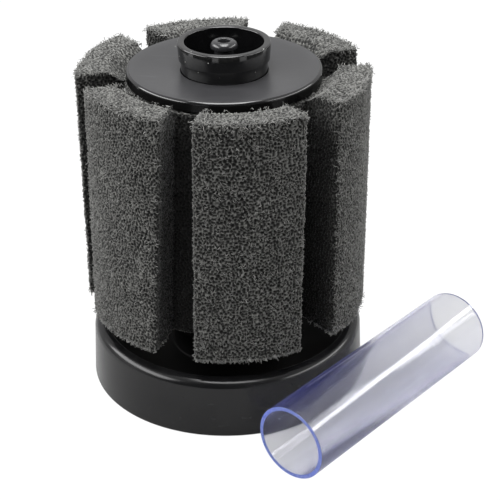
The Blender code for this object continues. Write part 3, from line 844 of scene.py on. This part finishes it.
nozzle_low, nozzle_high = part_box("airline_nozzle")
NOZZLE_LIP = 3.35 * MM
NOZZLE_NECK = 2.4 * MM
NOZZLE_BORE = 1.4 * MM
NOZZLE_MOUTH = 1.55 * MM
SPIGOT_RADIUS = 2.0 * MM
RIDGE_PITCH = 3.6 * MM
SPIDER_RADIUS = 9.45 * MM
SPIDER_RIM = 8.5 * MM
SPIDER_BOTTOM = LEDGE_TOP + 0.3 * MM
SPIDER_TOP = SPIDER_BOTTOM + 2.0 * MM
SPIDER_COLUMNS = 72
ARM_COUNT = 3
ARM_WIDE_CELLS = 3
BARB_TOP = collar_high.z - 0.01 * MM
RIDGE_TOP = nozzle_high.z - RIDGE_PITCH  # the lower ridge
RIDGE_HEIGHT = 1.8 * MM
RIDGE_FOOT = 2.1 * MM  # from a ridge's top to the neck below it

barb_corners = []
for top, dome, neck in ((BARB_TOP, 1.3 * MM, RIDGE_TOP), (RIDGE_TOP, 0.6 * MM, RIDGE_TOP - RIDGE_PITCH)):
    barb_corners += [
        (NOZZLE_LIP, top, dome),
        (NOZZLE_LIP, top - RIDGE_HEIGHT, 0.3 * MM),
        (NOZZLE_NECK, top - RIDGE_FOOT, 0.15 * MM),
        (NOZZLE_NECK, neck, 0),
    ]
barb = turned(
    "airline_nozzle_barb",
    barb_corners
    + [
        (NOZZLE_NECK, SPIDER_BOTTOM, 0.2 * MM),
        (SPIGOT_RADIUS, SPIDER_BOTTOM - 0.4 * MM, 0),
        (SPIGOT_RADIUS, nozzle_low.z, 0.2 * MM),
        (NOZZLE_BORE, nozzle_low.z, 0.1 * MM),
        (NOZZLE_BORE, nozzle_high.z - 2 * MM, 0),
        (NOZZLE_MOUTH, BARB_TOP, 0.25 * MM),
    ],
    columns=72,
)
spider_radii = np.array([NOZZLE_NECK - 0.2 * MM, SPIDER_RIM, SPIDER_RADIUS])
spider_keep = np.ones((2, SPIDER_COLUMNS), bool)
arm_cell = (np.arange(SPIDER_COLUMNS) - SPIDER_COLUMNS // 4 + 1) % (SPIDER_COLUMNS // ARM_COUNT)
spider_keep[0] = arm_cell < ARM_WIDE_CELLS
spider = windowed_shell(
    "airline_nozzle_spider",
    around(spider_radii, np.full(3, SPIDER_TOP), SPIDER_COLUMNS),
    around(spider_radii, np.full(3, SPIDER_BOTTOM), SPIDER_COLUMNS),
    spider_keep,
)
nozzle_grey = moulded_black(
    "nozzle_grey", (0.01, 0.01, 0.011), (0.025, 0.025, 0.027), 0.14, 0.26, reflect=0.55
)
for piece in (barb, spider):
    dress(piece, nozzle_grey)
    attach(piece, "airline")
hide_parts("airline_nozzle")

# ---------------------------------------------------------------- Air stem and diffuser
# Inside the strainer the air goes down a plain extruded tube to a hollow plug with a ring
# of small holes, where it breaks up into bubbles.

stem_low, stem_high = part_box("air_stem")
diffuser_low, diffuser_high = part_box("air_diffuser")
STEM_BORE = 2.3 * MM
DIFFUSER_TOP = diffuser_high.z - 6.0 * MM
DIFFUSER_WALL = 1.2 * MM
HOLE_HEIGHT = diffuser_low.z + 10.0 * MM
HOLE_SIZE = 1.0 * MM
HOLE_COUNT = 8
HOLE_ROW = 4  # the row of cells between the two corners that bound the holes
HOLE_WIDE_CELLS = 3

stem = turned(
    "air_stem_tube",
    [
        (stem_high.x, stem_high.z, 0.2 * MM),
        (stem_high.x, stem_low.z, 0.2 * MM),
        (STEM_BORE, stem_low.z, 0.1 * MM),
        (STEM_BORE, stem_high.z, 0.1 * MM),
    ],
    columns=64,
)
dress(stem, moulded_black("stem_black", (0.02, 0.02, 0.021), (0.035, 0.035, 0.036), 0.35, 0.5))
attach(stem, "airline")
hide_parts("air_stem")

diffuser_radius = diffuser_high.x
diffuser_path = np.array(
    [
        (SPIGOT_RADIUS, diffuser_high.z),
        (SPIGOT_RADIUS, DIFFUSER_TOP),
        (diffuser_radius - 0.3 * MM, DIFFUSER_TOP),
        (diffuser_radius, DIFFUSER_TOP - 0.3 * MM),
        (diffuser_radius, HOLE_HEIGHT + HOLE_SIZE / 2),
        (diffuser_radius, HOLE_HEIGHT - HOLE_SIZE / 2),
        (diffuser_radius, diffuser_low.z + 0.6 * MM),
        (diffuser_radius - 0.6 * MM, diffuser_low.z),
        (0, diffuser_low.z),
    ]
)
diffuser_inside = np.array(
    [
        (NOZZLE_BORE, diffuser_high.z),
        (NOZZLE_BORE, DIFFUSER_TOP - DIFFUSER_WALL),
        (diffuser_radius - DIFFUSER_WALL - 0.1 * MM, DIFFUSER_TOP - DIFFUSER_WALL),
        (diffuser_radius - DIFFUSER_WALL, DIFFUSER_TOP - DIFFUSER_WALL - 0.1 * MM),
        (diffuser_radius - DIFFUSER_WALL, HOLE_HEIGHT + HOLE_SIZE / 2),
        (diffuser_radius - DIFFUSER_WALL, HOLE_HEIGHT - HOLE_SIZE / 2),
        (diffuser_radius - DIFFUSER_WALL, diffuser_low.z + DIFFUSER_WALL + 0.1 * MM),
        (diffuser_radius - DIFFUSER_WALL - 0.1 * MM, diffuser_low.z + DIFFUSER_WALL),
        (0, diffuser_low.z + DIFFUSER_WALL),
    ]
)
diffuser_columns = 96
diffuser_keep = np.ones((len(diffuser_path) - 1, diffuser_columns), bool)
diffuser_keep[HOLE_ROW] = np.arange(diffuser_columns) % (diffuser_columns // HOLE_COUNT) >= HOLE_WIDE_CELLS
diffuser = windowed_shell(
    "air_diffuser_plug",
    around(diffuser_path[:, 0], diffuser_path[:, 1], diffuser_columns),
    around(diffuser_inside[:, 0], diffuser_inside[:, 1], diffuser_columns),
    diffuser_keep,
)


def gritty_grey(name):
    """Sintered grit: pale grains in a darker bond."""
    material, tree, shader, place = new_material(name)
    grains = add_node(tree, "ShaderNodeTexVoronoi", {"Vector": place, "Scale": 1 / (0.35 * MM)})
    tone = ramp(tree, grains.outputs["Distance"], (0.1, (0.34, 0.33, 0.3)), (0.6, (0.1, 0.095, 0.09)))
    lumps = relief(tree, grains.outputs["Distance"], 0.7, 0.1 * MM, invert=True)
    tree.links.new(tone, shader.inputs["Base Color"])
    tree.links.new(lumps, shader.inputs["Normal"])
    shader.inputs["Roughness"].default_value = 0.9
    return material


dress(diffuser, gritty_grey("diffuser_grey"))
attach(diffuser, "airline")
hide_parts("air_diffuser")

# ---------------------------------------------------------------- Lift tube
# A length of clear extruded acrylic tube with sawn, lightly broken ends. It lies loose on
# the floor against the base, and stands in the collar when the filter is in use.

tube_low, tube_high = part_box("lift_tube")
TUBE_RADIUS = (tube_high.z - tube_low.z) / 2
TUBE_BORE = 8.5 * MM
TUBE_LENGTH = 70.2 * MM
TUBE_COLUMNS = 160
DRAWN_SCALE = (4, 900, 900)  # long along the tube and fine across it


def laid_tube():
    """A ring-shaped path carried round the tube's own axis, then laid along a level line
    through the middle of its box: along the axis by cos and sin of its angle, up by its radius."""
    path = rounded_path(
        [
            (TUBE_RADIUS, TUBE_LENGTH / 2, 0.15 * MM),
            (TUBE_RADIUS, -TUBE_LENGTH / 2, 0.15 * MM),
            (TUBE_BORE, -TUBE_LENGTH / 2, 0.1 * MM),
            (TUBE_BORE, TUBE_LENGTH / 2, 0.1 * MM),
        ]
    )
    angle = np.linspace(0, math.tau, TUBE_COLUMNS, endpoint=False)
    centre = np.array((tube_low + tube_high) / 2)
    along = np.array([math.cos(TUBE_ANGLE), math.sin(TUBE_ANGLE), 0])
    beside = np.array([math.sin(TUBE_ANGLE), -math.cos(TUBE_ANGLE), 0])
    radius, reach = path[:, 0], path[:, 1]
    grid = (
        centre
        + np.outer(np.cos(angle), radius)[..., None] * beside
        + np.outer(np.sin(angle), radius)[..., None] * np.array([0, 0, 1])
        + reach[:, None] * along
    )
    return grid_mesh("lift_tube_clear", grid)


def clear_plastic(name):
    """Clear acrylic with a faint violet cast that deepens with the thickness, drawn lines along
    it and a few smears. Lamps shine through it onto what lies behind."""
    material, tree, shader, place = new_material(name)
    lengthwise = add_node(
        tree, "ShaderNodeMapping", {"Vector": place, "Rotation": (0, 0, -TUBE_ANGLE), "Scale": DRAWN_SCALE}
    ).outputs[0]
    drawn = relief(tree, noise(tree, lengthwise, 1, 3), 0.008, 0.01 * MM)
    rough = ramp(tree, noise(tree, place, 110, 4), (0.35, 0.08), (0.7, 0.14))
    tree.links.new(drawn, shader.inputs["Normal"])
    tree.links.new(rough, shader.inputs["Roughness"])
    shader.inputs["Base Color"].default_value = (0.94, 0.942, 0.955, 1)
    shader.inputs["Transmission Weight"].default_value = 1.0
    shader.inputs["IOR"].default_value = 1.49
    shader.inputs["Sheen Weight"].default_value = 0.18
    shader.inputs["Sheen Roughness"].default_value = 0.5
    shader.inputs["Sheen Tint"].default_value = (0.3, 0.33, 1.0, 1)
    depth = add_node(tree, "ShaderNodeVolumeAbsorption", {"Color": (0.33, 0.335, 0.4, 1), "Density": 120})
    tree.links.new(depth.outputs[0], tree.nodes["Material Output"].inputs["Volume"])
    lamp = add_node(tree, "ShaderNodeLightPath").outputs["Is Shadow Ray"]
    clear = add_node(tree, "ShaderNodeBsdfTransparent", {"Color": (0.95, 0.95, 0.96, 1)})
    let_through = add_node(tree, "ShaderNodeMixShader", {0: lamp, 1: shader.outputs[0], 2: clear.outputs[0]})
    tree.links.new(let_through.outputs[0], tree.nodes["Material Output"].inputs["Surface"])
    return material


def sawn_edge(name):
    """The cut end, half frosted. Its deep violet blue is painted light: the glow of light piped along the
    wall, which gathers the tint of the whole length.
    """
    material, tree, shader, place = new_material(name)
    saw = noise(tree, place, 2600, 3)
    # Painted light: the blue stands for light piped along the wall to the cut end.
    tone = ramp(tree, saw, (0.35, (0.06, 0.12, 0.48)), (0.65, (0.26, 0.33, 0.7)))
    tree.links.new(tone, shader.inputs["Base Color"])
    tree.links.new(relief(tree, saw, 0.4, 0.05 * MM), shader.inputs["Normal"])
    shader.inputs["Transmission Weight"].default_value = 0.55
    shader.inputs["Roughness"].default_value = 0.35
    return material


tube = show("lift_tube_clear", laid_tube())
facing = face_values(tube.data, "normal") @ (math.cos(TUBE_ANGLE), math.sin(TUBE_ANGLE), 0)
end_on = np.abs(facing) > 0.7
dress(tube, clear_plastic("clear_tube"), sawn_edge("clear_tube_edge_painted_light"), which=end_on)
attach(tube, "tube")
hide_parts("lift_tube")

# ---------------------------------------------------------------- Floor, lights and camera
# A plain white floor under a bright surround that is dimmer in front. A large soft box stands
# on each side and one hangs overhead. The camera looks down a little from in front.

FLOOR_COLUMNS = 96
FLOOR_RADII = (0, 0.2, 1.0, 6.0)
FLOOR_DROP = 0.02 * MM  # the gap between it and what stands on it
FLOOR_SIGHT = 0.88  # how much of its own even white the eye sees
FLOOR_GLOW = 1.08
SIDE_GLOW = 0.7
FRONT_GLOW = 0.06
AIM = np.array([0.005, -0.005, 0.045])
CAMERA_BACK = 322.74 * MM
CAMERA_UP = 209.69 * MM
CAMERA_PITCH = 0.499
CAMERA_TURN = 0.0189
CAMERA_ROLL = -0.0044
CAMERA_LENS = 100.58
CAMERA_SENSOR = 36

floor_angle = np.linspace(0, math.tau, FLOOR_COLUMNS, endpoint=False)
floor_grid = np.stack(
    (
        np.outer(FLOOR_RADII, np.cos(floor_angle)),
        np.outer(FLOOR_RADII, np.sin(floor_angle)),
        np.full((len(FLOOR_RADII), FLOOR_COLUMNS), -FLOOR_DROP),
    ),
    axis=-1,
)
floor = show("floor", grid_mesh("floor", floor_grid, wrap_rows=False))
floor_white, floor_tree, floor_shader, floor_place = new_material("floor_white")
floor_tone = ramp(floor_tree, noise(floor_tree, floor_place, 3, 2), (0.3, 0.42), (0.7, 0.44))
floor_sight = add_node(floor_tree, "ShaderNodeLightPath").outputs["Is Camera Ray"]
floor_share = add_node(floor_tree, "ShaderNodeMath", {0: floor_sight, 1: FLOOR_SIGHT}, operation="MULTIPLY")
floor_glow = add_node(floor_tree, "ShaderNodeEmission", {"Color": (1, 1, 1, 1), "Strength": FLOOR_GLOW})
floor_mix = add_node(
    floor_tree,
    "ShaderNodeMixShader",
    {0: floor_share.outputs[0], 1: floor_shader.outputs[0], 2: floor_glow.outputs[0]},
)
floor_tree.links.new(floor_mix.outputs[0], floor_tree.nodes["Material Output"].inputs["Surface"])
floor_tree.links.new(floor_tone, floor_shader.inputs["Base Color"])
floor_shader.inputs["Roughness"].default_value = 0.9
floor_shader.inputs["Specular IOR Level"].default_value = 0.1
dress(floor, floor_white)

world = bpy.data.worlds.new("studio")
bpy.context.scene.world = world
world.use_nodes = True
studio = world.node_tree
studio_light = studio.nodes["Background"]
sight = add_node(studio, "ShaderNodeLightPath").outputs["Is Camera Ray"]
heading = add_node(studio, "ShaderNodeTexCoord").outputs["Generated"]
front = add_node(studio, "ShaderNodeVectorMath", {0: heading, 1: (0, -1, 0)}, operation="DOT_PRODUCT")
glow = ramp(studio, front.outputs["Value"], (0.25, SIDE_GLOW), (0.7, FRONT_GLOW))
studio.links.new(glow, studio_light.inputs["Color"])
paper = add_node(studio, "ShaderNodeBackground", {"Color": (1, 1, 1, 1), "Strength": 1.0})
seen = add_node(studio, "ShaderNodeMixShader", {0: sight, 1: studio_light.outputs[0], 2: paper.outputs[0]})
studio.links.new(seen.outputs[0], studio.nodes["World Output"].inputs["Surface"])


def soft_box(name, azimuth, elevation, distance, width, height, watts):
    """An area light at an azimuth from -Y towards +X, turned to face the filter."""
    light = bpy.data.lights.new(name, "AREA")
    light.shape = "RECTANGLE"
    light.size = width
    light.size_y = height
    light.energy = watts
    round_by = math.radians(azimuth)
    up_by = math.radians(elevation)
    level = math.cos(up_by)
    back = np.array([math.sin(round_by) * level, -math.cos(round_by) * level, math.sin(up_by)])
    holder = bpy.data.objects.new(name, light)
    bpy.context.scene.collection.objects.link(holder)
    holder.location = AIM + distance * back
    holder.rotation_euler = (math.pi / 2 - up_by, 0, round_by)


soft_box("left_box", -84, 33, 0.6, 0.7, 0.22, 3.8)
soft_box("right_box", 86, 32, 0.6, 0.76, 0.08, 1.8)
soft_box("top_box", 0, 87, 0.7, 0.4, 0.7, 8.1)

camera_data = bpy.data.cameras.new("camera")
camera_data.sensor_width = CAMERA_SENSOR
camera_data.lens = CAMERA_LENS
camera = bpy.data.objects.new("camera", camera_data)
bpy.context.scene.collection.objects.link(camera)
camera.location = (0, -CAMERA_BACK, CAMERA_UP)
camera_turn = (
    Matrix.Rotation(-CAMERA_TURN, 3, "Z")
    @ Matrix.Rotation(math.pi / 2 - CAMERA_PITCH, 3, "X")
    @ Matrix.Rotation(CAMERA_ROLL, 3, "Z")
)
camera.rotation_euler = camera_turn.to_euler()
bpy.context.scene.camera = camera
bpy.context.scene.view_settings.view_transform = "Standard"
